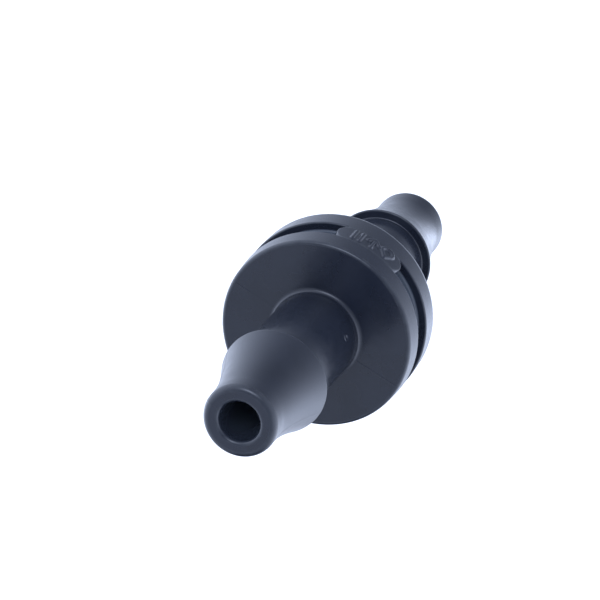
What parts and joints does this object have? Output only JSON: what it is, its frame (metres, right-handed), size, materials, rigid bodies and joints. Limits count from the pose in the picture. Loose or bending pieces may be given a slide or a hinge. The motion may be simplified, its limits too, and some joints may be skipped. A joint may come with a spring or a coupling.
{
  "type": "inline drip emitter",
  "caption": "Inline drip emitter: a grooved round cup with a raised pad and a snapped-in cap, a barb on each, around a filter, labyrinth plate and diaphragm.",
  "frame": {"origin": "middle of the body, on the bore axis", "axes": "+X is the flow direction, from the inlet tip to the outlet tip; +Z points out through the middle of the raised pad; +Y completes the right-handed frame"},
  "size_m": [0.0298, 0.011, 0.011],
  "materials": {
    "shell": "satin moulded black polypropylene",
    "screen": "satin moulded grey plastic",
    "core": "satin moulded black acetal",
    "silicone": "matte silicone",
    "seal": "matte rubber"
  },
  "bodies": {
    "housing": {"inlet_body": "shell", "outlet_cap": "shell", "filter_screen": "screen", "labyrinth_plate": "core", "seal_ring": "seal"},
    "diaphragm": {"diaphragm": "silicone"}
  },
  "joints": [
    {"name": "diaphragm_float", "type": "slide", "parent": "housing", "child": "diaphragm", "axis": [1, 0, 0], "range_m": [0, 0.00025]}
  ]
}
